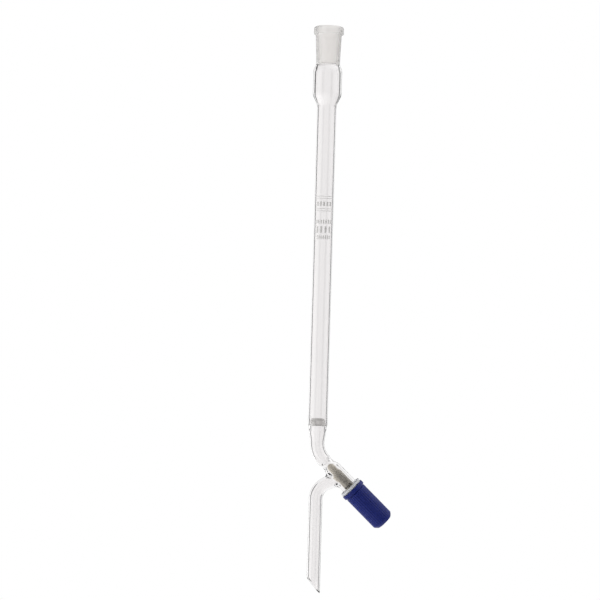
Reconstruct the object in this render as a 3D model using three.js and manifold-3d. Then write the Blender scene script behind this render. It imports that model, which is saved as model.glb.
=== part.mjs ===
// Small glass chromatography column with a tap: a 14/23 ground socket, a reservoir bulb, a plain tube
// with a sintered-glass frit, a leaning needle valve with a blue screw cap, and a bevelled drip tube.
//
// Millimetres, +Z up along the tube's axis. The origin is on that axis where a laboratory clamp grips
// the plain tube. The valve leans out towards +X, and the object is symmetric about the XZ plane
// except for its right-hand thread and the printed mark, which faces -Y.
import * as THREE from 'three';
import { mergeVertices } from 'three/addons/utils/BufferGeometryUtils.js';
import Module from 'manifold-3d';

const wasm = await Module();
wasm.setup();

// ---- driving dimensions -----------------------------------------------------------------------

const ROUND = 36;               // facets round the glass tube, the valve barrel and the cap
const ROUND_SMALL = 24;         // facets round the drip tube and the spindle
const GAP = 0.3;                // gap between pieces that meet in the leaning valve

// the upright tube, heights along the axis
const RIM_TOP = 154;
const RIM_HEIGHT = 4.8;
const RIM_RADIUS = 9.7;
const RIM_CORNER = 0.2;
const RIM_FLAT_OUT = 8.9;       // the flat top face runs from here ...
const RIM_FLAT_IN = 7.5;        // ... in to here
const SOCKET_BOTTOM = 129.9;
const SOCKET_OUT_TOP = 8.45;
const SOCKET_OUT_BOTTOM = 7.65;
const GROUND_RADIUS_TOP = 7.25; // 14.5 mm large end of the 14/23 ground cone
const GROUND_LENGTH = 23;
const GROUND_TAPER = 0.1;       // on the diameter
const BULB_TOP = 126.2;
const BULB_BOTTOM = 109.5;
const BULB_OUT = 9.35;
const BULB_IN = 7.65;
const TUBE_TOP = 102;
const TUBE_BOTTOM = -105.4;
const TUBE_OUT = 6.25;
const TUBE_IN = 5.3;
const FRIT_TOP = -101.4;
const FRIT_THICK = 3.7;
const FRIT_RADIUS = 5.15;
const FRIT_EDGE = 0.9;
const FRIT_BULGE = 0.25;        // the tube swells this much where the frit is fused in
const FRIT_LEDGE = 3.85;        // radius of the opening in the ledge under the frit
const CONE_SWELL = -109.7;      // the cone's bore is widest here ...
const CONE_SWELL_IN = 4.35;     // ... with this radius
const CONE_BOTTOM = -116.6;
const DRAIN_OUT = 4.6;
const DRAIN_IN = 3.35;
const ARM_OUT = 4.4;
const ARM_IN = 3;

// the bend into the valve
const VALVE_Z = -123.5;         // where the valve's axis crosses the tube's axis
const VALVE_LEAN = 44;          // degrees below the horizontal
const BEND_RADIUS = 15.5;

// distances along the valve's axis, measured outwards from that crossing
const THROAT_RADIUS = 2.2;
const THROAT_START = 9;
const SEAT_START = 11.3;
const SEAT_END = 14.25;
const SEAT_PIECE_END = 15.3;    // the seat's piece of glass ends here and the barrel's begins
const NECK_OUT = 4;
const NECK_AT = 10.8;
const BARREL_START = 13.2;
const BARREL_OUT = 5.5;
const BARREL_BORE = 3.6;
const BARREL_END = 55;
const THREAD_START = 40;
const THREAD_TURNS = 5.5;
const THREAD_PITCH = 2.5;
const THREAD_RIDGE = 0.65;      // radius of the rounded ridge
const THREAD_STEPS = 12;        // facets in each turn

// the side arm and the drip tube
const SIDE_ARM_AT = 21.9;
const SIDE_ARM_DROP = 27;       // degrees below the horizontal
const SIDE_ARM_BEND = 11.3;
const TIP_LOW = -215;
const TIP_RISE = 10.2;          // how much higher the far side of the bevelled tip is

// the spindle, its two seals, the stop ring and the cap
const NOSE_TIP = 10.7;
const NOSE_RADIUS = 2.55;
const SPINDLE_RADIUS = 3.3;
const SPINDLE_SHOULDER = 18.9;
const SPINDLE_END = 56.3;
const STEM_RADIUS = 2;
const STEM_END = 61.7;
const SEAL_AT = [29.4, 36.4];
const SEAL_RING = 3;
const SEAL_SECTION = 0.48;
const GROOVE_RADIUS = 2.45;
const GROOVE_HALF = 0.6;
const RING_START = 30.5;
const RING_END = 32.2;
const RING_OUT = 7.7;
const RING_BORE = 6.4;
const RING_LIP_BORE = 5.8;
const RING_LIP_END = 31.3;
const SLEEVE_OUT = 6.9;
const SLEEVE_END = 34.4;
const FLANGE_START = 32.5;
const FLANGE_END = 35.2;
const FLANGE_OUT = 8.2;
const RECESS_RADIUS = 7.2;
const RECESS_END = 34.7;
const CAP_OUT = 7.5;
const CAP_BORE = 6.4;
const CAP_BORE_END = 59.6;
const CAP_CHAMFER_AT = 60.8;
const CAP_END = 63.2;
const CAP_END_RADIUS = 5.4;
const CAP_SOCKET_RADIUS = 2.3;
const CAP_SOCKET_END = 62;
const CAP_RIBS = 30;
const RIB_DEPTH = 0.22;
const CAP_TURNS = 3.5;          // turns of thread inside the cap

// the printed mark, wrapped round the front of the tube
const MARK_TOP = 44;
const MARK_HEIGHT = 29;
const MARK_WIDTH = 9.6;
const MARK_LINE = 0.7;
const MARK_INNER = 6.28;
const MARK_OUTER = 6.4;

// ---- helpers ----------------------------------------------------------------------------------

const radians = THREE.MathUtils.degToRad;

function lathe(points, facets = ROUND) {
  const profile = points.map(([radius, height]) => new THREE.Vector2(radius, height));
  const geometry = new THREE.LatheGeometry(profile, facets);
  geometry.rotateX(Math.PI / 2); // the lathe turns round Y, the object stands on Z
  return geometry;
}

// a closed ring section: the profile comes back to its own first point
function latheRing(points, facets = ROUND) {
  return lathe([...points, points[0]], facets);
}

function toSolid(geometry) {
  const bare = geometry.clone();
  bare.deleteAttribute('normal');
  bare.deleteAttribute('uv');
  const merged = mergeVertices(bare);
  const corners = merged.index.array;
  const triVerts = [];
  for (let i = 0; i < corners.length; i += 3) {
    const [a, b, c] = [corners[i], corners[i + 1], corners[i + 2]];
    if (a !== b && b !== c && c !== a) triVerts.push(a, b, c);
  }
  const mesh = new wasm.Mesh({
    numProp: 3,
    vertProperties: new Float32Array(merged.attributes.position.array),
    triVerts: new Uint32Array(triVerts),
  });
  return new wasm.Manifold(mesh);
}

function toGeometry(solid) {
  const mesh = solid.getMesh();
  const geometry = new THREE.BufferGeometry();
  geometry.setAttribute('position', new THREE.BufferAttribute(new Float32Array(mesh.vertProperties), 3));
  geometry.setIndex(new THREE.BufferAttribute(new Uint32Array(mesh.triVerts), 1));
  return geometry;
}

// a straight run followed by an arc, in the XZ plane
class RunAndArc extends THREE.Curve {
  constructor(start, heading, run, radius, turn) {
    super();
    this.start = start;
    this.heading = heading; // radians from +X towards +Z
    this.run = run;
    this.radius = radius;
    this.turn = turn;       // radians, positive from +X towards +Z
    this.total = run + radius * Math.abs(turn);
  }

  angleAt(distance) {
    return this.heading + Math.sign(this.turn) * Math.max(0, distance - this.run) / this.radius;
  }

  getPoint(t, target = new THREE.Vector3()) {
    const distance = t * this.total;
    const straight = Math.min(distance, this.run);
    const side = Math.sign(this.turn);
    const angle = this.angleAt(distance);
    target.set(
      this.start.x + straight * Math.cos(this.heading)
        + side * this.radius * (Math.sin(angle) - Math.sin(this.heading)),
      0,
      this.start.z + straight * Math.sin(this.heading)
        - side * this.radius * (Math.cos(angle) - Math.cos(this.heading)),
    );
    return target;
  }

  getTangent(t, target = new THREE.Vector3()) {
    const angle = this.angleAt(t * this.total);
    return target.set(Math.cos(angle), 0, Math.sin(angle));
  }
}

class Helix extends THREE.Curve {
  constructor(radius, start, turns) {
    super();
    this.radius = radius;
    this.start = start;
    this.turns = turns;
  }

  getPoint(t, target = new THREE.Vector3()) {
    const angle = 2 * Math.PI * this.turns * t;
    return target.set(
      this.radius * Math.cos(angle),
      this.radius * Math.sin(angle),
      this.start + THREAD_PITCH * this.turns * t,
    );
  }
}

function circleShape(radius, facets) {
  const points = [];
  for (let i = 0; i < facets; i += 1) {
    const angle = (2 * Math.PI * i) / facets;
    points.push(new THREE.Vector2(radius * Math.cos(angle), radius * Math.sin(angle)));
  }
  return new THREE.Shape(points);
}

function sweep(path, outer, inner, facets, steps) {
  const section = circleShape(outer, facets);
  if (inner > 0) section.holes.push(circleShape(inner, facets));
  return new THREE.ExtrudeGeometry(section, { steps, bevelEnabled: false, extrudePath: path });
}

function threadRidge(radius, start, turns) {
  const path = new Helix(radius, start, turns);
  return sweep(path, THREAD_RIDGE, 0, 5, Math.round(turns * THREAD_STEPS));
}

// a solid rod along Z
function rod(radius, from, to, facets = ROUND) {
  const geometry = new THREE.CylinderGeometry(radius, radius, to - from, facets);
  geometry.rotateX(Math.PI / 2);
  geometry.translate(0, 0, (from + to) / 2);
  return geometry;
}

// ---- materials --------------------------------------------------------------------------------

function material(colour, roughness, opacity = 1) {
  const transparent = opacity < 1;
  return new THREE.MeshStandardMaterial({ color: colour, roughness, metalness: 0, transparent, opacity });
}

const clearGlass = () => material(0xe3e8e8, 0.03, 0.35);
const groundGlass = () => material(0xdedad5, 0.6, 0.7);
const sintered = () => material(0xb9b6b2, 0.9);
const enamel = () => material(0xb9b4ad, 0.6);
const ptfe = () => material(0xc9c5ba, 0.45);
const sealRubber = () => material(0x3b3a38, 0.7);
const ringPlastic = () => material(0xb9bcc4, 0.5);
const capPlastic = () => material(0x232a6e, 0.4);

const column = new THREE.Group();
const valve = new THREE.Group();
valve.position.set(0, 0, VALVE_Z);
valve.rotation.y = radians(90 + VALVE_LEAN);
column.add(valve);

function addPart(group, name, geometry, look) {
  const mesh = new THREE.Mesh(geometry, look);
  mesh.name = name;
  group.add(mesh);
}

// ---- the upright glass ------------------------------------------------------------------------

function groundSocket() {
  const groundEnd = RIM_TOP - GROUND_LENGTH;
  const groundRadiusEnd = GROUND_RADIUS_TOP - (GROUND_LENGTH * GROUND_TAPER) / 2;
  return latheRing([
    [groundRadiusEnd, SOCKET_BOTTOM],
    [SOCKET_OUT_BOTTOM, SOCKET_BOTTOM],
    [SOCKET_OUT_TOP, RIM_TOP - RIM_HEIGHT],
    [RIM_RADIUS - RIM_CORNER, RIM_TOP - RIM_HEIGHT + RIM_CORNER],
    [RIM_RADIUS, RIM_TOP - RIM_HEIGHT + 3 * RIM_CORNER],
    [RIM_RADIUS, RIM_TOP - 1.4],
    [RIM_RADIUS - 0.25, RIM_TOP - 0.6],
    [RIM_FLAT_OUT, RIM_TOP],
    [RIM_FLAT_IN, RIM_TOP],
    [GROUND_RADIUS_TOP, RIM_TOP - 0.4],
    [groundRadiusEnd, groundEnd],
  ]);
}

function reservoirBulb() {
  const groundRadiusEnd = GROUND_RADIUS_TOP - (GROUND_LENGTH * GROUND_TAPER) / 2;
  return latheRing([
    [TUBE_IN, TUBE_TOP],
    [TUBE_OUT, TUBE_TOP],
    [TUBE_OUT + 0.3, TUBE_TOP + 1.6],
    [BULB_OUT - 0.9, BULB_BOTTOM - 2.6],
    [BULB_OUT - 0.2, BULB_BOTTOM - 0.9],
    [BULB_OUT, BULB_BOTTOM + 0.8],
    [BULB_OUT, BULB_TOP - 0.6],
    [BULB_OUT - 0.3, BULB_TOP + 0.7],
    [BULB_OUT - 1.1, BULB_TOP + 2.1],
    [SOCKET_OUT_BOTTOM, SOCKET_BOTTOM],
    [groundRadiusEnd, SOCKET_BOTTOM],
    [BULB_IN - 0.7, BULB_TOP + 1.2],
    [BULB_IN, BULB_TOP - 0.8],
    [BULB_IN, BULB_BOTTOM + 0.9],
    [BULB_IN - 0.6, BULB_BOTTOM - 1.4],
    [TUBE_IN + 0.4, TUBE_TOP + 2],
  ]);
}

function columnTube() {
  const fritMiddle = FRIT_TOP - FRIT_THICK / 2;
  return latheRing([
    [TUBE_IN, TUBE_BOTTOM],
    [TUBE_OUT - 0.1, TUBE_BOTTOM],
    [TUBE_OUT + FRIT_BULGE, fritMiddle],
    [TUBE_OUT, FRIT_TOP + 2],
    [TUBE_OUT, TUBE_TOP],
    [TUBE_IN, TUBE_TOP],
  ]);
}

function fritDisc() {
  const bottom = FRIT_TOP - FRIT_THICK;
  return lathe([
    [0, bottom],
    [FRIT_RADIUS - FRIT_EDGE, bottom],
    [FRIT_RADIUS, bottom + FRIT_EDGE],
    [FRIT_RADIUS, FRIT_TOP - FRIT_EDGE],
    [FRIT_RADIUS - FRIT_EDGE, FRIT_TOP],
    [0, FRIT_TOP],
  ]);
}

function bendTangent(radius, turn) {
  return radius * Math.tan(radians(turn) / 2);
}

const BEND_TANGENT = bendTangent(BEND_RADIUS, 90 - VALVE_LEAN);

function drainCone() {
  const bendTop = VALVE_Z + BEND_TANGENT;
  return latheRing([
    [DRAIN_IN, bendTop],
    [DRAIN_OUT, bendTop],
    [DRAIN_OUT, CONE_BOTTOM],
    [DRAIN_OUT + 0.2, CONE_BOTTOM + 1.8],
    [CONE_SWELL_IN + 1, CONE_SWELL - 0.6],
    [TUBE_OUT - 0.6, TUBE_BOTTOM - 2.6],
    [TUBE_OUT - 0.1, TUBE_BOTTOM],
    [FRIT_LEDGE, TUBE_BOTTOM],
    [FRIT_LEDGE, TUBE_BOTTOM - 2],
    [CONE_SWELL_IN, CONE_SWELL],
    [CONE_SWELL_IN - 0.3, CONE_SWELL - 2.6],
    [DRAIN_IN + 0.2, CONE_BOTTOM + 1.6],
    [DRAIN_IN, CONE_BOTTOM],
  ]);
}

function inletBend() {
  const start = new THREE.Vector3(0, 0, VALVE_Z + BEND_TANGENT);
  const path = new RunAndArc(start, radians(-90), 0, BEND_RADIUS, radians(90 - VALVE_LEAN));
  return sweep(path, DRAIN_OUT, DRAIN_IN, ROUND_SMALL, 6);
}

// ---- the valve's glass ------------------------------------------------------------------------

// the side arm's centre line, in the upright frame: out of the barrel, then down along the tube's axis
const LEAN = radians(VALVE_LEAN);
const SIDE_ARM_START = new THREE.Vector3(
  SIDE_ARM_AT * Math.cos(LEAN),
  0,
  VALVE_Z - SIDE_ARM_AT * Math.sin(LEAN),
);
const SIDE_ARM_HEADING = radians(180 + SIDE_ARM_DROP);
const SIDE_ARM_TURN = 90 - SIDE_ARM_DROP;
const SIDE_ARM_TANGENT = bendTangent(SIDE_ARM_BEND, SIDE_ARM_TURN);
const SIDE_ARM_RUN = SIDE_ARM_START.x / Math.cos(radians(SIDE_ARM_DROP)) - SIDE_ARM_TANGENT;

function sideArmPath() {
  const turn = radians(SIDE_ARM_TURN);
  return new RunAndArc(SIDE_ARM_START, SIDE_ARM_HEADING, SIDE_ARM_RUN, SIDE_ARM_BEND, turn);
}

// a geometry moved from the upright frame into the leaning valve's frame
function intoValve(geometry) {
  valve.updateMatrix();
  return geometry.clone().applyMatrix4(valve.matrix.clone().invert());
}

// the narrow neck after the bend, with the conical seat that the spindle's nose closes on
function valveSeat() {
  return latheRing([
    [DRAIN_IN, BEND_TANGENT + GAP],
    [THROAT_RADIUS, THROAT_START],
    [THROAT_RADIUS, SEAT_START],
    [BARREL_BORE, SEAT_END],
    [BARREL_BORE, SEAT_PIECE_END],
    [BARREL_OUT, SEAT_PIECE_END],
    [BARREL_OUT - 0.6, BARREL_START],
    [NECK_OUT + 0.1, NECK_AT],
    [NECK_OUT, THROAT_START - 0.2],
    [DRAIN_OUT, BEND_TANGENT + GAP],
  ].reverse());
}

function valveBarrel() {
  const body = toSolid(latheRing([
    [BARREL_BORE, SEAT_PIECE_END + GAP],
    [BARREL_BORE, BARREL_END],
    [BARREL_OUT - 0.5, BARREL_END],
    [BARREL_OUT, BARREL_END - 0.5],
    [BARREL_OUT, SEAT_PIECE_END + GAP],
  ].reverse()));
  const ridge = toSolid(threadRidge(BARREL_OUT - 0.05, THREAD_START, THREAD_TURNS));
  const port = toSolid(intoValve(sweep(sideArmPath(), ARM_IN, 0, ROUND_SMALL, 8)));
  return toGeometry(body.add(ridge).subtract(port));
}

function sideArm() {
  const arm = toSolid(intoValve(sweep(sideArmPath(), ARM_OUT, ARM_IN, ROUND_SMALL, 10)));
  const clearance = toSolid(rod(BARREL_OUT + GAP, 0, BARREL_END));
  const cut = toGeometry(arm.subtract(clearance));
  valve.updateMatrix();
  return cut.applyMatrix4(valve.matrix);
}

function dripTube() {
  const top = sideArmPath().getPoint(1).z;
  const straight = toSolid(latheRing([
    [ARM_IN, TIP_LOW],
    [ARM_OUT, TIP_LOW],
    [ARM_OUT, top],
    [ARM_IN, top],
  ], ROUND_SMALL));
  const wedge = new THREE.Shape([
    new THREE.Vector2(ARM_OUT, TIP_LOW),
    new THREE.Vector2(ARM_OUT, TIP_LOW - TIP_RISE),
    new THREE.Vector2(-3 * ARM_OUT, TIP_LOW - TIP_RISE),
    new THREE.Vector2(-3 * ARM_OUT, TIP_LOW + 2 * TIP_RISE),
  ]);
  const cutter = new THREE.ExtrudeGeometry(wedge, { depth: 6 * ARM_OUT, bevelEnabled: false });
  cutter.translate(0, 0, -3 * ARM_OUT);
  cutter.rotateX(Math.PI / 2);
  return toGeometry(straight.subtract(toSolid(cutter)));
}

// ---- the key: spindle, seals, stop ring and cap -----------------------------------------------

function spindle() {
  const nose = [];
  const noseSteps = 6;
  for (let i = 0; i <= noseSteps; i += 1) {
    const angle = (Math.PI / 2) * (i / noseSteps);
    nose.push([NOSE_RADIUS * Math.sin(angle), NOSE_TIP + NOSE_RADIUS * (1 - Math.cos(angle))]);
  }
  const grooves = SEAL_AT.flatMap((at) => [
    [SPINDLE_RADIUS, at - GROOVE_HALF],
    [GROOVE_RADIUS, at - GROOVE_HALF],
    [GROOVE_RADIUS, at + GROOVE_HALF],
    [SPINDLE_RADIUS, at + GROOVE_HALF],
  ]);
  return lathe([
    ...nose,
    [NOSE_RADIUS, 15.4],
    [NOSE_RADIUS - 0.12, 16.5],
    [SPINDLE_RADIUS - 0.2, SPINDLE_SHOULDER - 0.7],
    [SPINDLE_RADIUS, SPINDLE_SHOULDER],
    ...grooves,
    [SPINDLE_RADIUS, SPINDLE_END],
    [STEM_RADIUS, SPINDLE_END],
    [STEM_RADIUS, STEM_END],
    [0, STEM_END],
  ], ROUND_SMALL);
}

function seal(at) {
  const ring = new THREE.TorusGeometry(SEAL_RING, SEAL_SECTION, 8, ROUND_SMALL);
  ring.translate(0, 0, at);
  return ring;
}

function stopRing() {
  return latheRing([
    [RING_LIP_BORE, RING_START],
    [RING_OUT - 0.3, RING_START],
    [RING_OUT, RING_START + 0.3],
    [RING_OUT, RING_END - 0.2],
    [RING_OUT - 0.2, RING_END],
    [SLEEVE_OUT, RING_END],
    [SLEEVE_OUT, SLEEVE_END],
    [RING_BORE, SLEEVE_END],
    [RING_BORE, RING_LIP_END],
    [RING_LIP_BORE, RING_LIP_END],
  ]);
}

function capOutline() {
  const points = [];
  for (let rib = 0; rib < CAP_RIBS; rib += 1) {
    const step = (2 * Math.PI) / CAP_RIBS;
    const spots = [[-0.26, 0], [0.26, 0], [0.5, RIB_DEPTH]];
    for (const [part, depth] of spots) {
      const angle = step * (rib + part);
      points.push(new THREE.Vector2(
        (CAP_OUT - depth) * Math.cos(angle),
        (CAP_OUT - depth) * Math.sin(angle),
      ));
    }
  }
  return new THREE.Shape(points);
}

function screwCap() {
  const ribbed = new THREE.ExtrudeGeometry(capOutline(), {
    depth: CAP_END - FLANGE_END + 0.5,
    bevelEnabled: false,
  });
  ribbed.translate(0, 0, FLANGE_END - 0.5);
  const envelope = toSolid(lathe([
    [0, FLANGE_START],
    [FLANGE_OUT - 0.15, FLANGE_START],
    [FLANGE_OUT, FLANGE_START + 0.15],
    [FLANGE_OUT, FLANGE_END - 0.3],
    [FLANGE_OUT - 0.3, FLANGE_END],
    [CAP_OUT + 0.2, FLANGE_END],
    [CAP_OUT + 0.2, CAP_CHAMFER_AT],
    [CAP_END_RADIUS + 0.5, CAP_END - 0.35],
    [CAP_END_RADIUS, CAP_END],
    [0, CAP_END],
  ]));
  const flange = toSolid(lathe([
    [0, FLANGE_START],
    [FLANGE_OUT + 1, FLANGE_START],
    [FLANGE_OUT + 1, FLANGE_END],
    [0, FLANGE_END],
  ]));
  const cavity = toSolid(lathe([
    [0, FLANGE_START - 1],
    [RECESS_RADIUS, FLANGE_START - 1],
    [RECESS_RADIUS, RECESS_END],
    [CAP_BORE, RECESS_END],
    [CAP_BORE, CAP_BORE_END - 1.5],
    [CAP_BORE - 1.5, CAP_BORE_END],
    [CAP_SOCKET_RADIUS, CAP_BORE_END],
    [CAP_SOCKET_RADIUS, CAP_SOCKET_END],
    [0, CAP_SOCKET_END],
  ]));
  const start = THREAD_START - THREAD_PITCH / 2;
  const ridge = toSolid(threadRidge(CAP_BORE + 0.05, start, CAP_TURNS));
  const outside = toSolid(ribbed).add(flange).intersect(envelope);
  return toGeometry(outside.subtract(cavity).add(ridge));
}

// ---- the printed mark -------------------------------------------------------------------------

function printedMark() {
  const half = MARK_WIDTH / 2;
  const top = MARK_TOP;
  const bottom = MARK_TOP - MARK_HEIGHT;
  const bar = (x0, z0, x1, z1) => new THREE.Path([
    new THREE.Vector2(x0, z0),
    new THREE.Vector2(x1, z0),
    new THREE.Vector2(x1, z1),
    new THREE.Vector2(x0, z1),
  ]);
  const shape = new THREE.Shape(bar(-half, bottom, half, top).getPoints());
  const windows = 4;
  const windowHeight = (MARK_HEIGHT - MARK_LINE * (windows + 1)) / windows;
  for (let i = 0; i < windows; i += 1) {
    const low = bottom + MARK_LINE + i * (windowHeight + MARK_LINE);
    shape.holes.push(bar(-half + MARK_LINE, low, half - MARK_LINE, low + windowHeight));
  }
  const slab = new THREE.ExtrudeGeometry(shape, { depth: 2 * TUBE_OUT, bevelEnabled: false });
  slab.rotateX(Math.PI / 2);
  const sleeve = latheRing([
    [MARK_INNER, bottom - 1],
    [MARK_OUTER, bottom - 1],
    [MARK_OUTER, top + 1],
    [MARK_INNER, top + 1],
  ]);
  return toGeometry(toSolid(sleeve).intersect(toSolid(slab)));
}

// ---- assembly ---------------------------------------------------------------------------------

addPart(column, 'ground_socket', groundSocket(), groundGlass());
addPart(column, 'reservoir_bulb', reservoirBulb(), clearGlass());
addPart(column, 'column_tube', columnTube(), clearGlass());
addPart(column, 'frit_disc', fritDisc(), sintered());
addPart(column, 'drain_cone', drainCone(), clearGlass());
addPart(column, 'inlet_bend', inletBend(), clearGlass());
addPart(valve, 'valve_seat', valveSeat(), clearGlass());
addPart(valve, 'valve_barrel', valveBarrel(), clearGlass());
addPart(column, 'side_arm', sideArm(), clearGlass());
addPart(column, 'drip_tube', dripTube(), clearGlass());
addPart(column, 'printed_mark', printedMark(), enamel());
addPart(valve, 'spindle', spindle(), ptfe());
addPart(valve, 'seal_front', seal(SEAL_AT[0]), sealRubber());
addPart(valve, 'seal_rear', seal(SEAL_AT[1]), sealRubber());
addPart(valve, 'stop_ring', stopRing(), ringPlastic());
addPart(valve, 'screw_cap', screwCap(), capPlastic());

export default column;
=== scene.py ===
"""Looks for the glass column: one fused glass body, its ground socket, frit, printed mark and valve key."""

import math

import bmesh
import bpy
import numpy as np
import openvdb
from mathutils import Matrix, Vector

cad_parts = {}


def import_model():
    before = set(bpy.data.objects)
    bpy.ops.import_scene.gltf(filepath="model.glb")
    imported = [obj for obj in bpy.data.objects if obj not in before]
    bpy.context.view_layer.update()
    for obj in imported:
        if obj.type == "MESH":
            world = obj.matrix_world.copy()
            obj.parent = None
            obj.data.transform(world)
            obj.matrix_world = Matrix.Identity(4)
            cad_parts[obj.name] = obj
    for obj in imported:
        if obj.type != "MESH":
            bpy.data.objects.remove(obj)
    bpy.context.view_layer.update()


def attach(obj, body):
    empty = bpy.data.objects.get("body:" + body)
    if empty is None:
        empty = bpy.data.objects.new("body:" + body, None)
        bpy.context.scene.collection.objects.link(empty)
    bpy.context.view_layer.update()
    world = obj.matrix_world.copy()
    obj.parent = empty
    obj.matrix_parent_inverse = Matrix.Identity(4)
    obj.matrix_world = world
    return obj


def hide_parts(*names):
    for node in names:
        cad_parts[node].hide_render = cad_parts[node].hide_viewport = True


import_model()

MM = 0.001

# ---- dimensions, in millimetres in the row frame -------------------------------------------------

# the ground socket, the reservoir and the plain tube
RIM_TOP = 154.0
COLLAR_RADIUS = 9.7
COLLAR_BOTTOM = 149.4
SOCKET_BOTTOM = 129.3
SOCKET_RADIUS_TOP = 8.45
SOCKET_RADIUS_END = 7.65
GROUND_END = 131.0
GROUND_RADIUS_TOP = 7.25
GROUND_RADIUS_END = 6.1
BULB_OUT = 9.35
BULB_IN = 7.65
TUBE_OUT = 6.25
TUBE_IN = 5.3
SEAM_Z = 103.1
SEAM_DEPTH = 0.22
SEAM_WIDTH = 0.55

# the frit and the drain under it
FRIT_TOP = -101.4
FRIT_WAIST = -103.4
FRIT_BOTTOM = -105.5
DRAIN_TOP = -98.0
DRAIN_OUT = 4.6
DRAIN_IN = 3.35

# the valve, whose distances run along its own axis from where that axis meets the tube's
VALVE_Z = -123.5
LEAN = math.radians(44)
BEND_RADIUS = 15.5
BEND_TURN = math.pi / 2 - LEAN
BEND_TOP = VALVE_Z + BEND_RADIUS * math.tan(BEND_TURN / 2)
INLET_END = 6.6
THROAT = 1.8
BARREL_OUT = 5.5
BARREL_BORE = 3.6
BARREL_END = 55.0
THREAD_START = 40.0
THREAD_END = 53.75
THREAD_PITCH = 2.5
THREAD_HEIGHT = 0.55
THREAD_HALF_WIDTH = 0.26    # of a pitch

# the side arm and the drip tube
ARM_OUT = 4.4
ARM_IN = 3.0
ARM_AT = 21.9
ARM_DROP = math.radians(27)
ARM_BEND = 11.3
TIP_LOW = -215.0
TIP_RISE = 10.2

# the key and the ring, along the valve's axis
SPINDLE_RADIUS = 3.3
NOSE_RADIUS = 2.55
NOSE_TIP = 10.7
SHAFT_END = 56.3
STEM_END = 61.7
SEALS = (29.4, 36.4)
SEAL_RING = 3.0
SEAL_SECTION = 0.48
SEAL_GROOVE_RADIUS = 2.45
SEAL_GROOVE_HALF = 0.6
STEM_RADIUS = 2.0
RING_START = 30.5
RING_END = 32.2
RING_RADIUS = 7.7
SLEEVE_END = 34.4
CAP_START = 32.5
CAP_END = 63.2
CAP_FLANGE = 8.2
FLANGE_END = 35.2
RECESS_END = 34.7
CAP_RADIUS = 7.5
CAP_BORE = 6.4
CAP_RIBS = 30
RIB_DEPTH = 0.18
RIBS_START = 36.0
RIBS_END = 61.4

AXIS = np.array([math.cos(LEAN), -math.sin(LEAN)])      # the valve's axis in (x, z), outwards
AXIS_SIDE = np.array([math.sin(LEAN), math.cos(LEAN)])  # across it, up and to the right

# (height, radius) of the upright glass, outside and inside
OUTER_UPRIGHT = [
    (SOCKET_BOTTOM, 7.8), (128.2, 8.25), (126.8, 9.05), (125.4, BULB_OUT), (110.6, BULB_OUT), (109.2, 9.1),
    (103.6, 6.5), (102.0, TUBE_OUT), (-99.5, TUBE_OUT), (-103.2, 6.5), (-105.4, 6.15), (-108.0, 5.65),
    (-110.3, 5.35), (-114.8, 4.8), (-116.6, DRAIN_OUT), (-118.4, DRAIN_OUT),
]
INNER_UPRIGHT = [
    (130.4, 6.05), (128.8, 6.2), (126.8, 7.0), (124.8, BULB_IN), (110.2, BULB_IN), (108.8, 7.4),
    (103.7, 5.5), (102.0, TUBE_IN), (-105.0, TUBE_IN), (-105.3, 4.2), (-106.4, 4.0), (-107.8, 4.05),
    (-109.7, 4.35), (-112.3, 4.05), (-115.0, 3.55), (-116.6, DRAIN_IN), (-118.4, DRAIN_IN),
]

# (distance along the valve's axis, radius) of the valve's glass, outside and inside
PAST_BARREL = BARREL_END + 5
OUTER_VALVE = [
    (INLET_END, DRAIN_OUT), (8.8, 4.05), (10.8, 4.1), (12.0, 4.4), (13.6, 5.1), (15.2, BARREL_OUT),
    (PAST_BARREL, BARREL_OUT),
]
INNER_VALVE = [
    (INLET_END, DRAIN_IN), (9.3, THROAT), (10.78, THROAT), (14.25, BARREL_BORE), (PAST_BARREL, BARREL_BORE),
]

# how far edges and joins in the fused glass are softened
BARREL_EDGE = 0.5
TIP_EDGE = 0.3
INNER_EDGE = 0.25
ARM_JOIN_OUT = 2.6
ARM_JOIN_IN = 0.9
SOCKET_OVERLAP = 0.05       # the reservoir reaches this far into the socket, so that light passes the seam
DEEP_INSIDE = -9.0          # a distance that never wins a maximum

# space that the fused glass is meshed in
FIELD_X = (-10.6, 44.0)
FIELD_Y = (-10.6, 10.6)
FIELD_TOP = 131.5
FIELD_LIMIT = 3.0
PROJECTIONS = 5
LARGEST_STEP = 0.3
SLOPE_STEP = 0.01


# ---- mesh helpers --------------------------------------------------------------------------------

def new_object(name, mesh):
    obj = bpy.data.objects.new(name, mesh)
    bpy.context.scene.collection.objects.link(obj)
    return obj


def mesh_object(name, points_mm, faces):
    mesh = bpy.data.meshes.new(name)
    mesh.from_pydata([tuple(p) for p in np.asarray(points_mm) * MM], [], faces)
    mesh.update()
    mesh.polygons.foreach_set("use_smooth", [True] * len(mesh.polygons))
    return new_object(name, mesh)


def rounded(profile, reach, steps=4):
    """The profile with each inner corner replaced by a small arc of points."""
    out = [profile[0]]
    for before, here, after in zip(profile, profile[1:], profile[2:]):
        before, here, after = (np.array(p, float) for p in (before, here, after))
        back, on = before - here, after - here
        cut = min(reach, 0.45 * np.linalg.norm(back), 0.45 * np.linalg.norm(on))
        start = here + back / np.linalg.norm(back) * cut
        end = here + on / np.linalg.norm(on) * cut
        for i in range(steps + 1):
            t = i / steps
            out.append(tuple((1 - t) ** 2 * start + 2 * t * (1 - t) * here + t * t * end))
    out.append(profile[-1])
    return out


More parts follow.
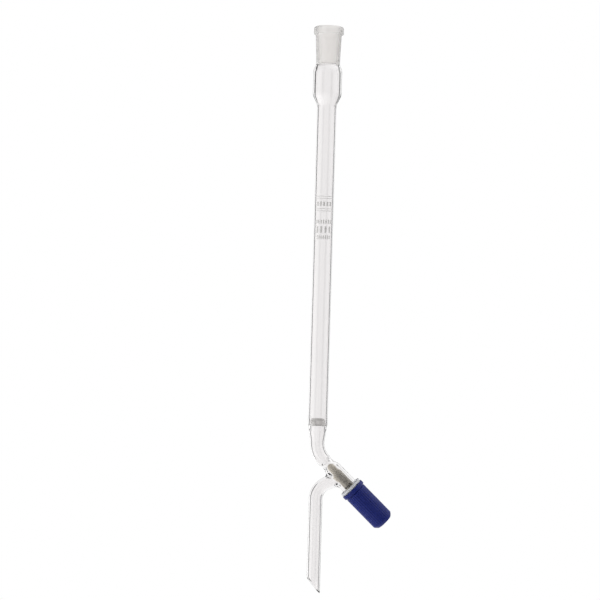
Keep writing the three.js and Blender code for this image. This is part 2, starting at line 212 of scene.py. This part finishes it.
def lathe(name, profile, around=128, closed=False, radius_of=None):
    """Turns (radius, height) points round Z. radius_of(radius, height, angle) may shape it further."""
    rings = []
    points = []
    for radius, height in profile:
        if radius < 1e-6:
            rings.append([len(points)])
            points.append((0.0, 0.0, height))
            continue
        ring = []
        for i in range(around):
            angle = 2 * math.pi * i / around
            r = radius_of(radius, height, angle) if radius_of else radius
            ring.append(len(points))
            points.append((r * math.cos(angle), r * math.sin(angle), height))
        rings.append(ring)
    pairs = list(zip(rings, rings[1:]))
    if closed:
        pairs.append((rings[-1], rings[0]))
    faces = []
    for low, high in pairs:
        for i in range(around):
            j = (i + 1) % around
            if len(low) == 1 and len(high) > 1:
                faces.append((low[0], high[j], high[i]))
            elif len(high) == 1 and len(low) > 1:
                faces.append((low[i], low[j], high[0]))
            elif len(low) > 1:
                faces.append((low[i], low[j], high[j], high[i]))
    obj = mesh_object(name, points, faces)
    outward(obj)
    return obj


def outward(obj):
    work = bmesh.new()
    work.from_mesh(obj.data)
    bmesh.ops.recalc_face_normals(work, faces=work.faces)
    work.to_mesh(obj.data)
    work.free()


def lean_into_valve(obj):
    """Moves a piece made along +Z to the valve's axis, heights being distances from the tube's axis."""
    turn = Matrix.Rotation(math.pi / 2 + LEAN, 4, "Y")
    obj.data.transform(Matrix.Translation((0, 0, VALVE_Z * MM)) @ turn)
    obj.data.update()
    return obj


# ---- the fused glass body ------------------------------------------------------------------------

def smooth_table(knots, start, end, soften):
    """Radius against distance, with its corners softened like glass worked in a flame."""
    at, radius = zip(*sorted(knots))
    step = 0.05
    grid = np.arange(start, end + step, step)
    values = np.interp(grid, at, radius)
    reach = int(3 * soften / step)
    kernel = np.exp(-0.5 * (np.arange(-reach, reach + 1) * step / soften) ** 2)
    padded = np.pad(values, reach, mode="edge")
    return grid, np.convolve(padded, kernel / kernel.sum(), mode="valid")


BELOW_DRAIN = -125
ABOVE_SOCKET = 140

OUT_UP = smooth_table(OUTER_UPRIGHT, BELOW_DRAIN, ABOVE_SOCKET, 0.55)
IN_UP = smooth_table(INNER_UPRIGHT, BELOW_DRAIN, ABOVE_SOCKET, 0.55)
IN_DRAIN = smooth_table(INNER_UPRIGHT, BELOW_DRAIN, DRAIN_TOP + 3, 0.25)
OUT_VALVE = smooth_table(OUTER_VALVE, 0, PAST_BARREL, 0.5)
IN_VALVE = smooth_table(INNER_VALVE, 0, PAST_BARREL, 0.3)


def smooth_min(a, b, reach):
    h = np.maximum(reach - np.abs(a - b), 0) / reach
    return np.minimum(a, b) - h * h * reach / 4


def smooth_max(a, b, reach):
    return -smooth_min(-a, -b, reach)


def thread_height(along, across, y):
    """Height of the right-hand thread above the barrel, fading in and out at its ends."""
    turn = np.arctan2(y, -across) / (2 * math.pi)
    phase = (along - THREAD_START) / THREAD_PITCH - turn
    crest = np.clip(1 - np.abs((phase + 0.5) % 1 - 0.5) / THREAD_HALF_WIDTH, 0, 1)
    fade = np.clip(along - THREAD_START + 0.8, 0, 1) * np.clip(THREAD_END - along, 0, 1)
    return THREAD_HEIGHT * fade * crest ** 2 * (3 - 2 * crest)


def main_tube(x, y, z):
    """Distances to the outer and inner wall of the tube that runs from the socket to the barrel's end."""
    vx, vz = x - BEND_RADIUS, z - BEND_TOP
    turned = np.arctan2(vz, vx) % (2 * math.pi)
    upright = turned < math.pi
    bend = (turned >= math.pi) & (turned <= math.pi + BEND_TURN)
    along = x * AXIS[0] + (z - VALVE_Z) * AXIS[1]
    across = x * AXIS_SIDE[0] + (z - VALVE_Z) * AXIS_SIDE[1]
    offset = np.where(upright, x, np.where(bend, np.hypot(vx, vz) - BEND_RADIUS, across))
    radius = np.hypot(offset, y)
    valve_out = np.interp(along, *OUT_VALVE) + thread_height(along, across, y)
    outer = np.where(upright, np.interp(z, *OUT_UP), np.where(bend, DRAIN_OUT, valve_out))
    seam = SEAM_DEPTH * np.exp(-((z - SEAM_Z) / SEAM_WIDTH) ** 2)
    bore = np.where(z < DRAIN_TOP, np.interp(z, *IN_DRAIN), np.interp(z, *IN_UP) - seam)
    inner = np.where(upright, bore, np.where(bend, DRAIN_IN, np.interp(along, *IN_VALVE)))
    end = np.where(upright | bend, DEEP_INSIDE, along - BARREL_END)
    outside = smooth_max(radius - outer, end, BARREL_EDGE)
    outside = smooth_max(outside, z - SOCKET_BOTTOM - SOCKET_OVERLAP, 0.1)
    return outside, radius - inner


ARM_START = np.array([0.0, VALVE_Z]) + ARM_AT * AXIS
ARM_HEADING = np.array([-math.cos(ARM_DROP), -math.sin(ARM_DROP)])
ARM_SIDE = np.array([math.sin(ARM_DROP), -math.cos(ARM_DROP)])
ARM_TURN = math.pi / 2 - ARM_DROP
ARM_RUN = ARM_START[0] / math.cos(ARM_DROP) - ARM_BEND * math.tan(ARM_TURN / 2)
ARM_CENTRE = ARM_START + ARM_RUN * ARM_HEADING + ARM_BEND * ARM_SIDE


def side_arm(x, y, z):
    """Distances to the outer and inner wall of the side arm and the drip tube."""
    vx, vz = x - ARM_CENTRE[0], z - ARM_CENTRE[1]
    turned = np.arctan2(vz, vx) % (2 * math.pi)
    down = turned >= math.pi
    bend = (turned < math.pi) & (turned >= math.pi - ARM_TURN)
    dx, dz = x - ARM_START[0], z - ARM_START[1]
    along = dx * ARM_HEADING[0] + dz * ARM_HEADING[1]
    across = dx * ARM_SIDE[0] + dz * ARM_SIDE[1]
    offset = np.where(down, x, np.where(bend, np.hypot(vx, vz) - ARM_BEND, across))
    radius = np.hypot(offset, y)
    slope = TIP_RISE / (2 * ARM_OUT)
    tip = (TIP_LOW + (ARM_OUT - x) * slope - z) / math.hypot(1, slope)
    tip = np.where(down, tip, DEEP_INSIDE)
    root = np.where(down | bend, DEEP_INSIDE, -along)
    outside = smooth_max(np.maximum(radius - ARM_OUT, root), tip, TIP_EDGE)
    return outside, np.maximum(radius - ARM_IN, root)


def glass_field(x, y, z):
    """Below zero inside the glass, in millimetres."""
    tube_out, tube_in = main_tube(x, y, z)
    arm_out, arm_in = side_arm(x, y, z)
    outside = smooth_min(tube_out, arm_out, ARM_JOIN_OUT)
    inside = smooth_min(tube_in, arm_in, ARM_JOIN_IN)
    return smooth_max(outside, -inside, INNER_EDGE)


def field_slope(points):
    h = SLOPE_STEP
    x, y, z = points.T
    return np.stack([
        glass_field(x + h, y, z) - glass_field(x - h, y, z),
        glass_field(x, y + h, z) - glass_field(x, y - h, z),
        glass_field(x, y, z + h) - glass_field(x, y, z - h),
    ], 1) / (2 * h)


def glass_heights(fine):
    """Levels packed closely where the glass changes shape, and widely along the straight tubes."""
    bands = [
        (-217.0, -204.0, fine), (-204.0, -166.0, 1.6), (-166.0, -96.0, fine),
        (-96.0, 98.0, 2.6), (98.0, FIELD_TOP, fine * 1.2),
    ]
    levels = [np.arange(low, high - step * 0.25, step) for low, high, step in bands]
    return np.concatenate(levels + [[FIELD_TOP]])


def glass_body():
    """Meshes the field on a coarse grid, then moves every point onto the true surface."""
    fine = 0.4
    xs = np.arange(FIELD_X[0], FIELD_X[1], fine)
    ys = np.arange(FIELD_Y[0], FIELD_Y[1] + fine, fine)
    zs = glass_heights(fine)
    field = np.empty((len(xs), len(ys), len(zs)), np.float32)
    grid_y, grid_z = np.meshgrid(ys, zs, indexing="ij")
    for i, x in enumerate(xs):
        field[i] = np.clip(glass_field(np.full_like(grid_y, x), grid_y, grid_z), -FIELD_LIMIT, FIELD_LIMIT)
    grid = openvdb.FloatGrid(FIELD_LIMIT)
    grid.copyFromArray(field)
    cells, quads = grid.convertToQuads(0.0)
    points = np.stack([
        np.interp(cells[:, k].astype(float), np.arange(len(levels)), levels)
        for k, levels in enumerate((xs, ys, zs))
    ], 1)
    for _ in range(PROJECTIONS):
        slope = field_slope(points)
        size = np.maximum((slope ** 2).sum(1), 0.05)
        step = slope * (glass_field(*points.T) / size)[:, None]
        length = np.linalg.norm(step, axis=1, keepdims=True)
        points -= step * np.minimum(1, LARGEST_STEP / np.maximum(length, 1e-9))
    obj = mesh_object("column_glass", points, quads.tolist())
    normals = field_slope(points)
    normals /= np.maximum(np.linalg.norm(normals, axis=1, keepdims=True), 1e-9)
    facing = np.zeros(len(obj.data.polygons) * 3)
    obj.data.polygons.foreach_get("normal", facing)
    agree = (facing.reshape(-1, 3) * normals[quads[:, 0]]).sum(1)
    if np.median(agree) < 0:
        obj.data.flip_normals()
    obj.data.normals_split_custom_set_from_vertices([tuple(n) for n in normals])
    return obj


# ---- the other pieces ----------------------------------------------------------------------------

def ground_socket():
    outside = [
        (GROUND_RADIUS_END, SOCKET_BOTTOM), (SOCKET_RADIUS_END, SOCKET_BOTTOM),
        (SOCKET_RADIUS_TOP, COLLAR_BOTTOM), (COLLAR_RADIUS - 0.1, COLLAR_BOTTOM),
        (COLLAR_RADIUS, COLLAR_BOTTOM + 0.1), (COLLAR_RADIUS, RIM_TOP - 1.1),
        (COLLAR_RADIUS - 0.2, RIM_TOP - 0.4), (COLLAR_RADIUS - 0.7, RIM_TOP),
    ]
    inside = [
        (GROUND_RADIUS_TOP + 0.25, RIM_TOP), (GROUND_RADIUS_TOP, RIM_TOP - 0.4),
        (GROUND_RADIUS_END, GROUND_END), (GROUND_RADIUS_END, SOCKET_BOTTOM),
    ]
    return lathe("socket_glass", rounded(outside + inside, 0.15)[:-1], 160, closed=True)


def frit_disc():
    """Two fused layers: a slightly narrower one with rounded edges on top of a wider one."""
    edge = rounded([
        (4.2, FRIT_BOTTOM), (5.0, FRIT_BOTTOM + 0.3), (5.05, FRIT_WAIST - 0.3), (4.85, FRIT_WAIST),
        (4.95, FRIT_WAIST + 0.3), (4.85, FRIT_TOP - 0.8), (4.0, FRIT_TOP),
    ], 0.5)
    across = [k * 0.6 for k in range(7)]
    bottom = [(radius, FRIT_BOTTOM) for radius in across]
    top = [(radius, FRIT_TOP) for radius in reversed(across)]
    return lathe("frit", bottom + edge + top, 96)


def spindle():
    quarter = [math.pi / 2 * k / 12 for k in range(13)]
    nose = [(NOSE_RADIUS * math.sin(a), NOSE_TIP + NOSE_RADIUS * (1 - math.cos(a))) for a in quarter]
    body = [(NOSE_RADIUS, 15.2), (2.43, 16.5), (3.1, 18.2), (SPINDLE_RADIUS, 19.4)]
    for at in SEALS:
        low, high = at - SEAL_GROOVE_HALF, at + SEAL_GROOVE_HALF
        body += [(SPINDLE_RADIUS, low), (SEAL_GROOVE_RADIUS, low)]
        body += [(SEAL_GROOVE_RADIUS, high), (SPINDLE_RADIUS, high)]
    body += [(SPINDLE_RADIUS, SHAFT_END), (STEM_RADIUS, SHAFT_END), (STEM_RADIUS, STEM_END), (0, STEM_END)]
    profile = nose[:-1] + rounded([nose[-1]] + body, 0.25)
    return lean_into_valve(lathe("ptfe_spindle", profile, 96))


def seal(name, at):
    circle = [2 * math.pi * k / 20 for k in range(20)]
    profile = [(SEAL_RING + SEAL_SECTION * math.cos(a), at + SEAL_SECTION * math.sin(a)) for a in circle]
    return lean_into_valve(lathe(name, profile, 96, closed=True))


def stop_ring():
    """A lip against the barrel, a broad rim, and a sleeve that reaches under the cap."""
    lip, lip_end, sleeve = 5.8, RING_START + 0.8, 6.9
    profile = rounded([
        (lip, RING_START + 0.4), (lip, RING_START), (RING_RADIUS - 0.2, RING_START),
        (RING_RADIUS, RING_START + 0.2), (RING_RADIUS, RING_END - 0.2), (RING_RADIUS - 0.15, RING_END),
        (sleeve, RING_END), (sleeve, SLEEVE_END), (CAP_BORE, SLEEVE_END), (CAP_BORE, lip_end),
        (lip, lip_end), (lip, RING_START + 0.4),
    ], 0.18)[:-1]
    return lean_into_valve(lathe("grip_ring", profile, 128, closed=True))


def cap_radius(radius, height, angle):
    """Cuts the fine grooves between the ribs into the cap's outside."""
    if height < RIBS_START or radius < 6.9:
        return radius
    fade = min(1, (height - RIBS_START) / 0.6) * min(1, max(0, RIBS_END - height) / 0.9)
    wave = 0.5 - 0.5 * math.cos(CAP_RIBS * angle)
    return radius - RIB_DEPTH * fade * wave ** 3


def screw_cap():
    """The mesh stays open at the recess's wall, a band that the ring's sleeve hides."""
    recess, groove = 7.2, 7.1
    flange = [
        (recess, CAP_START), (CAP_FLANGE - 0.2, CAP_START), (CAP_FLANGE, CAP_START + 0.2),
        (CAP_FLANGE, FLANGE_END - 0.3), (CAP_FLANGE - 0.25, FLANGE_END), (groove, FLANGE_END + 0.05),
        (groove, FLANGE_END + 0.5), (CAP_RADIUS, FLANGE_END + 0.75),
    ]
    wall = [(CAP_RADIUS, RIBS_START + k * 0.8) for k in range(1, 31)]
    end = [
        (CAP_RADIUS, 60.8), (7.0, 61.5), (5.9, CAP_END - 0.5), (5.2, CAP_END - 0.05), (4.6, CAP_END),
        (0, CAP_END),
    ]
    stem_hole = STEM_RADIUS + 0.3
    inside = [
        (0, STEM_END + 0.3), (stem_hole, STEM_END + 0.3), (stem_hole, 59.6), (4.9, 59.6), (CAP_BORE, 58.1),
        (CAP_BORE, RECESS_END), (recess, RECESS_END), (recess, CAP_START),
    ]
    profile = rounded(flange + wall + end, 0.2) + rounded(inside, 0.2)[:-1]
    return lean_into_valve(lathe("blue_cap", profile, CAP_RIBS * 12, radius_of=cap_radius))


# ---- node helpers --------------------------------------------------------------------------------

def feed(tree, node, inputs):
    """Fills a node's inputs, each from another node's output or with a plain value."""
    for key, value in inputs.items():
        if isinstance(value, bpy.types.NodeSocket):
            tree.links.new(value, node.inputs[key])
        else:
            node.inputs[key].default_value = value


def add_node(tree, kind, inputs, **settings):
    node = tree.nodes.new(kind)
    for name, value in settings.items():
        setattr(node, name, value)
    feed(tree, node, inputs)
    return node


def maths(tree, operation, *values):
    return add_node(tree, "ShaderNodeMath", dict(enumerate(values)), operation=operation).outputs[0]


def vector_maths(tree, operation, inputs, output="Vector"):
    return add_node(tree, "ShaderNodeVectorMath", inputs, operation=operation).outputs[output]


def map_range(tree, value, source, target, curve="LINEAR"):
    """Carries the value from the source range to the target range, and holds it at the ends."""
    limits = {"From Min": source[0], "From Max": source[1], "To Min": target[0], "To Max": target[1]}
    node = add_node(tree, "ShaderNodeMapRange", {"Value": value, **limits}, interpolation_type=curve)
    return node.outputs["Result"]


def mix(tree, factor, a, b):
    return add_node(tree, "ShaderNodeMix", {0: factor, 2: a, 3: b}).outputs[0]


def coordinates(tree, kind="Object"):
    return tree.nodes.new("ShaderNodeTexCoord").outputs[kind]


# ---- materials -----------------------------------------------------------------------------------

GLASS_IOR = 1.47


def material(name):
    mat = bpy.data.materials.new(name)
    mat.use_nodes = True
    return mat, mat.node_tree, mat.node_tree.nodes["Principled BSDF"]


def speckle(tree, scale, dark, light, detail=3.0, roughness=0.5):
    """Noise between two colours. Returns the colour, and the noise itself for a bump."""
    noise = add_node(tree, "ShaderNodeTexNoise", {
        "Vector": coordinates(tree), "Scale": scale, "Detail": detail, "Roughness": roughness,
    }).outputs["Fac"]
    ramp = add_node(tree, "ShaderNodeValToRGB", {"Fac": noise})
    for element, at, colour in zip(ramp.color_ramp.elements, (0.3, 0.7), (dark, light)):
        element.position = at
        element.color = (*colour, 1)
    return ramp.outputs["Color"], noise


def bump(tree, height, strength, distance_mm):
    inputs = {"Height": height, "Strength": strength, "Distance": distance_mm * MM}
    return add_node(tree, "ShaderNodeBump", inputs).outputs["Normal"]


def clear_glass():
    mat, tree, bsdf = material("clear_borosilicate")
    tint, _ = speckle(tree, 40, (0.92, 0.91, 0.91), (0.93, 0.918, 0.918), detail=2)
    feed(tree, bsdf, {"Base Color": tint, "Transmission Weight": 1, "IOR": GLASS_IOR, "Roughness": 0})
    return mat


def axis_distance(tree):
    """Distance from the tube's axis, in metres, at the shaded point."""
    flat = vector_maths(tree, "MULTIPLY", {0: coordinates(tree), 1: (1, 1, 0)})
    return vector_maths(tree, "LENGTH", {0: flat}, "Value")


def ground_glass():
    """Ground inside, where the stopper goes, and smooth outside. The thick rim is a little darker."""
    mat, tree, bsdf = material("ground_borosilicate")
    tint, grain = speckle(tree, 3000, (0.9, 0.885, 0.872), (0.935, 0.92, 0.907))
    from_axis = axis_distance(tree)
    rim_shade = map_range(tree, from_axis, (9.1 * MM, 9.4 * MM), (1, 0.94))
    feed(tree, bsdf, {
        "Base Color": vector_maths(tree, "SCALE", {0: tint, "Scale": rim_shade}),
        "Roughness": map_range(tree, from_axis, (7.3 * MM, 7.45 * MM), (0.5, 0.22)),
        "Normal": bump(tree, grain, 0.15, 0.03),
        "Transmission Weight": 1,
        "IOR": GLASS_IOR,
    })
    return mat


def sintered_glass():
    mat, tree, bsdf = material("sintered_frit")
    tint, grain = speckle(tree, 1500, (0.76, 0.75, 0.73), (0.86, 0.85, 0.83), detail=4, roughness=0.6)
    feed(tree, bsdf, {"Base Color": tint, "Roughness": 0.9, "Normal": bump(tree, grain, 0.3, 0.05)})
    return mat


def along_valve(tree):
    """Distance along the valve's axis, in metres, at the shaded point of a piece drawn in the row frame."""
    from_valve = vector_maths(tree, "SUBTRACT", {0: coordinates(tree), 1: (0, 0, VALVE_Z * MM)})
    return vector_maths(tree, "DOT_PRODUCT", {0: from_valve, 1: (AXIS[0], 0, AXIS[1])}, "Value")


def ptfe():
    """Waxy white, drawn as a dark tint under painted light: an emitted glow, strongest at the nose and at
    its rounded sides, stands in for the light that soaks through it.
    """
    mat, tree, bsdf = material("ptfe")
    # dark tint: most of the spindle's white comes from the painted glow below
    tint, grain = speckle(tree, 700, (0.16, 0.147, 0.122), (0.185, 0.17, 0.142))
    normal = tree.nodes.new("ShaderNodeNewGeometry").outputs["Normal"]
    facing = vector_maths(tree, "DOT_PRODUCT", {0: normal, 1: (AXIS_SIDE[0], 0, AXIS_SIDE[1])}, "Value")
    sideways = maths(tree, "SUBTRACT", facing, 0.2)
    # painted light: glow that rises toward the spindle's sides across the valve's axis
    painted_side_light = maths(tree, "MULTIPLY", sideways, sideways)
    nearness = map_range(tree, along_valve(tree), (12 * MM, 26 * MM), (1, 0))
    # painted light: extra glow toward the nose
    painted_nose_light = map_range(tree, maths(tree, "MULTIPLY", nearness, nearness), (0, 1), (0.03, 0.27))
    feed(tree, bsdf, {
        "Base Color": tint,
        "Roughness": 0.45,
        "Normal": bump(tree, grain, 0.06, 0.03),
        # painted light: a warm emission, though the spindle is no lamp
        "Emission Color": (1, 0.92, 0.78, 1),
        "Emission Strength": maths(tree, "MULTIPLY_ADD", painted_side_light, 0.28, painted_nose_light),
    })
    return mat


def seal_rubber():
    mat, tree, bsdf = material("seal_rubber")
    tint, _ = speckle(tree, 900, (0.13, 0.122, 0.105), (0.16, 0.15, 0.13))
    feed(tree, bsdf, {"Base Color": tint, "Roughness": 0.6})
    return mat


def ring_plastic():
    """Natural polypropylene: milky, and thin enough to see the dark core through it."""
    mat, tree, bsdf = material("natural_polypropylene")
    tint, grain = speckle(tree, 700, (0.83, 0.84, 0.87), (0.91, 0.92, 0.95))
    feed(tree, bsdf, {
        "Base Color": tint, "Transmission Weight": 0.4, "IOR": 1.35, "Roughness": 0.6,
        "Normal": bump(tree, grain, 0.1, 0.05),
    })
    return mat


def cap_plastic():
    mat, tree, bsdf = material("blue_polypropylene")
    tint, grain = speckle(tree, 500, (0.0125, 0.02, 0.153), (0.0175, 0.027, 0.183))
    feed(tree, bsdf, {
        "Base Color": tint, "Roughness": 0.3, "Specular IOR Level": 0.12,
        "Normal": bump(tree, grain, 0.08, 0.05),
    })
    return mat


def enamel():
    """White print, darkened toward the side away from the valve: painted shade that offsets the stronger
    light from that side.
    """
    mat, tree, bsdf = material("printed_enamel")
    tint, _ = speckle(tree, 1500, (0.76, 0.745, 0.73), (0.86, 0.845, 0.83))
    split = add_node(tree, "ShaderNodeSeparateXYZ", {0: coordinates(tree)})
    # painted shade: halves the print's brightness toward -X, against the room's stronger light there
    painted_left_shade = map_range(tree, split.outputs["X"], (-6 * MM, 6 * MM), (0.5, 1))
    colour = vector_maths(tree, "SCALE", {0: tint, "Scale": painted_left_shade})
    feed(tree, bsdf, {"Base Color": colour, "Roughness": 0.7})
    return mat


# ---- the printed mark ----------------------------------------------------------------------------

PRINT_LIFT = 0.03
PRINT_HALF_DEPTH = 0.02

# each row of plain bars: name, bars across, their spacing, the heights of its lines about the row's
# middle, the width and height of one bar, and the row's height on the tube
MARK_ROWS = (
    ("mark_band", 1, 0, (4.75, 3.4, -3.4, -4.75), 11.2, 0.3, 38.75),
    ("mark_blocks", 5, 2.2, (0,), 1.2, 2.8, 38.6),
    ("mark_dashes", 7, 1.6, (0,), 0.8, 2.6, 27.0),
    ("mark_bars_tall", 4, 2.8, (0,), 1.2, 4.2, 21.9),
    ("mark_bars_low", 7, 1.4, (0,), 0.7, 2.4, 17.0),
)


def wrap_on_tube(obj, middle_z):
    """Bends a flat piece, drawn in the XY plane in millimetres, round the front of the tube."""
    radius = (TUBE_OUT + PRINT_LIFT) * MM
    for vertex in obj.data.vertices:
        angle = vertex.co.x * MM / radius
        lift = radius + vertex.co.z * MM
        vertex.co = Vector((
            lift * math.sin(angle), -lift * math.cos(angle), (middle_z + vertex.co.y) * MM,
        ))
    obj.data.update()
    return obj


def flat_bar(points, faces, cx, cy, width, height):
    """Adds one thin closed bar to the points and faces, in steps along its width so that it can bend."""
    steps = max(2, int(width / 0.5) + 1)
    base = len(points)
    top = base + 2 * steps
    for lift in (-PRINT_HALF_DEPTH, PRINT_HALF_DEPTH):
        for k in range(steps):
            x = cx - width / 2 + width * k / (steps - 1)
            points += [(x, cy - height / 2, lift), (x, cy + height / 2, lift)]
    for k in range(steps - 1):
        a = 2 * k
        faces.append((top + a, top + a + 2, top + a + 3, top + a + 1))
        faces.append((base + a, base + a + 1, base + a + 3, base + a + 2))
        faces.append((base + a, base + a + 2, top + a + 2, top + a))
        faces.append((base + a + 1, top + a + 1, top + a + 3, base + a + 3))
    last = 2 * (steps - 1)
    faces.append((base, top, top + 1, base + 1))
    faces.append((base + last, base + last + 1, top + last + 1, top + last))


def mark_row(name, count, spacing, lines, width, height, middle_z):
    points, faces = [], []
    for cy in lines:
        for k in range(count):
            flat_bar(points, faces, (k - (count - 1) / 2) * spacing, cy, width, height)
    mesh = bpy.data.meshes.new(name)
    mesh.from_pydata(points, [], faces)
    obj = new_object(name, mesh)
    outward(obj)
    return wrap_on_tube(obj, middle_z)


# ---- build ---------------------------------------------------------------------------------------

def dress(obj, body, look, slot, *nodes):
    obj.data.materials.clear()
    obj.data.materials.append(look)
    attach(obj, body)
    if nodes:
        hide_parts(*nodes)


GLASS_NODES = (
    "reservoir_bulb", "column_tube", "drain_cone", "inlet_bend", "valve_seat", "valve_barrel", "side_arm",
    "drip_tube",
)
dress(glass_body(), "glass", clear_glass(), "clear_glass", *GLASS_NODES)
dress(ground_socket(), "glass", ground_glass(), "ground_glass", "ground_socket")
dress(frit_disc(), "glass", sintered_glass(), "sintered_glass", "frit_disc")
dress(spindle(), "key", ptfe(), "ptfe", "spindle")
RUBBER = seal_rubber()
dress(seal("front_seal", SEALS[0]), "key", RUBBER, "seal_rubber", "seal_front")
dress(seal("back_seal", SEALS[1]), "key", RUBBER, "seal_rubber", "seal_rear")
dress(stop_ring(), "ring", ring_plastic(), "ring_plastic", "stop_ring")
dress(screw_cap(), "key", cap_plastic(), "cap_plastic", "screw_cap")

INK = enamel()
MARK = [mark_row(*row) for row in MARK_ROWS]
dress(MARK[0], "glass", INK, "enamel", "printed_mark")
for piece in MARK[1:]:
    dress(piece, "glass", INK, "enamel")


# ---- floor, light and camera ---------------------------------------------------------------------

FLOOR_RADIUS = 250
FLOOR_HEIGHT = -275

# the dark panels, in degrees: how far they stand from straight ahead, their half height, soft edges
PANEL_FROM = 30
PANEL_TO = 56
PANEL_SOFT = 3
PANEL_HALF_HEIGHT = 27
PANEL_HEIGHT_SOFT = 4
PANEL_DARKNESS = 0.88
PANEL_LEFT_EXTRA = 0.1
OPEN_SHARE = 0.12           # how much of the panels is seen by light that never bounced inside a wall

# the room's brightness on plain surfaces: everywhere, at both sides of the valve, at its lower left
# side, and from behind
ROOM_BASE = 0.2
ROOM_SIDES = 2.9
ROOM_LOWER_LEFT = 1.05
ROOM_BEHIND = 0.24
ROOM_LEAST = 0.05

CAMERA_DISTANCE = 1060
CAMERA_HEIGHT = -24.2
CAMERA_ASIDE = -13.86
CAMERA_ROLL = math.radians(1.64)
CAMERA_SENSOR = 36
CAMERA_LENS = 97.56


def floor():
    work = bmesh.new()
    bmesh.ops.create_circle(work, cap_ends=True, segments=96, radius=FLOOR_RADIUS * MM)
    mesh = bpy.data.meshes.new("pale_floor")
    work.to_mesh(mesh)
    work.free()
    obj = new_object("pale_floor", mesh)
    obj.location.z = FLOOR_HEIGHT * MM
    mat = bpy.data.materials.new("pale_floor")
    mat.use_nodes = True
    tree = mat.node_tree
    tree.nodes.clear()
    glow = add_node(tree, "ShaderNodeEmission", {"Color": (1, 1, 1, 1), "Strength": 1})
    add_node(tree, "ShaderNodeOutputMaterial", {"Surface": glow.outputs["Emission"]})
    mesh.materials.append(mat)


def soft_band(tree, value, low, high, soft):
    """One between low and high, zero outside, with soft edges."""
    rise = map_range(tree, value, (low - soft, low + soft), (0, 1), "SMOOTHSTEP")
    fall = map_range(tree, value, (high - soft, high + soft), (0, 1), "SMOOTHSTEP")
    return maths(tree, "SUBTRACT", rise, fall)


def seen_through_glass(tree, x, y, z, path):
    """White, but for four dark panels, which light that bounced inside a wall of glass sees in full."""
    degrees = 180 / math.pi
    heading = maths(tree, "ARCTAN2", x, maths(tree, "ABSOLUTE", y))
    azimuth = maths(tree, "ABSOLUTE", maths(tree, "MULTIPLY", heading, degrees))
    rise = maths(tree, "ABSOLUTE", maths(tree, "MULTIPLY", maths(tree, "ARCSINE", z), degrees))
    above_panel = map_range(
        tree, rise, (PANEL_HALF_HEIGHT - PANEL_HEIGHT_SOFT, PANEL_HALF_HEIGHT + PANEL_HEIGHT_SOFT), (0, 1),
        "SMOOTHSTEP",
    )
    wide = soft_band(tree, azimuth, PANEL_FROM, PANEL_TO, PANEL_SOFT)
    panel = maths(tree, "MULTIPLY", wide, maths(tree, "SUBTRACT", 1, above_panel))
    bounced = maths(tree, "MINIMUM", path["Glossy Depth"], 1)
    share = maths(tree, "MULTIPLY_ADD", bounced, 1 - OPEN_SHARE, OPEN_SHARE)
    darkness = maths(tree, "MULTIPLY_ADD", maths(tree, "SIGN", x), -PANEL_LEFT_EXTRA, PANEL_DARKNESS)
    dark = maths(tree, "MULTIPLY", maths(tree, "MULTIPLY", panel, darkness), share)
    return maths(tree, "SUBTRACT", 1, dark)


def room_light(tree, x, y, z):
    """What plain surfaces are lit by: strongest from the two sides of the valve."""
    across_z = maths(tree, "MULTIPLY", z, math.cos(LEAN))
    across = maths(tree, "MULTIPLY_ADD", x, math.sin(LEAN), across_z)
    sides = maths(tree, "MULTIPLY_ADD", maths(tree, "MULTIPLY", across, across), ROOM_SIDES, ROOM_BASE)
    lower_left = maths(tree, "MULTIPLY_ADD", across, -ROOM_LOWER_LEFT, sides)
    return maths(tree, "MAXIMUM", maths(tree, "MULTIPLY_ADD", y, ROOM_BEHIND, lower_left), ROOM_LEAST)


def world():
    sky = bpy.data.worlds.new("room")
    bpy.context.scene.world = sky
    sky.use_nodes = True
    tree = sky.node_tree
    tree.nodes.clear()
    direction = add_node(tree, "ShaderNodeSeparateXYZ", {0: coordinates(tree, "Generated")}).outputs
    path = tree.nodes.new("ShaderNodeLightPath").outputs
    lit = room_light(tree, *direction)
    through = seen_through_glass(tree, *direction, path)
    brightness = mix(tree, path["Is Camera Ray"], mix(tree, path["Is Transmission Ray"], lit, through), 1)
    shade = add_node(tree, "ShaderNodeBackground", {"Color": (1, 1, 1, 1), "Strength": brightness})
    add_node(tree, "ShaderNodeOutputWorld", {"Surface": shade.outputs["Background"]})


def camera():
    data = bpy.data.cameras.new("camera")
    obj = new_object("camera", data)
    data.sensor_width = CAMERA_SENSOR
    data.lens = CAMERA_LENS
    obj.matrix_world = (
        Matrix.Translation((CAMERA_ASIDE * MM, -CAMERA_DISTANCE * MM, CAMERA_HEIGHT * MM))
        @ Matrix.Rotation(math.pi / 2, 4, "X")
        @ Matrix.Rotation(CAMERA_ROLL, 4, "Z")
    )
    bpy.context.scene.camera = obj


floor()
world()
camera()

scene = bpy.context.scene
scene.view_settings.view_transform = "Standard"
scene.view_settings.look = "None"
scene.cycles.max_bounces = 24
scene.cycles.transmission_bounces = 24
scene.cycles.glossy_bounces = 12
scene.cycles.use_denoising = True
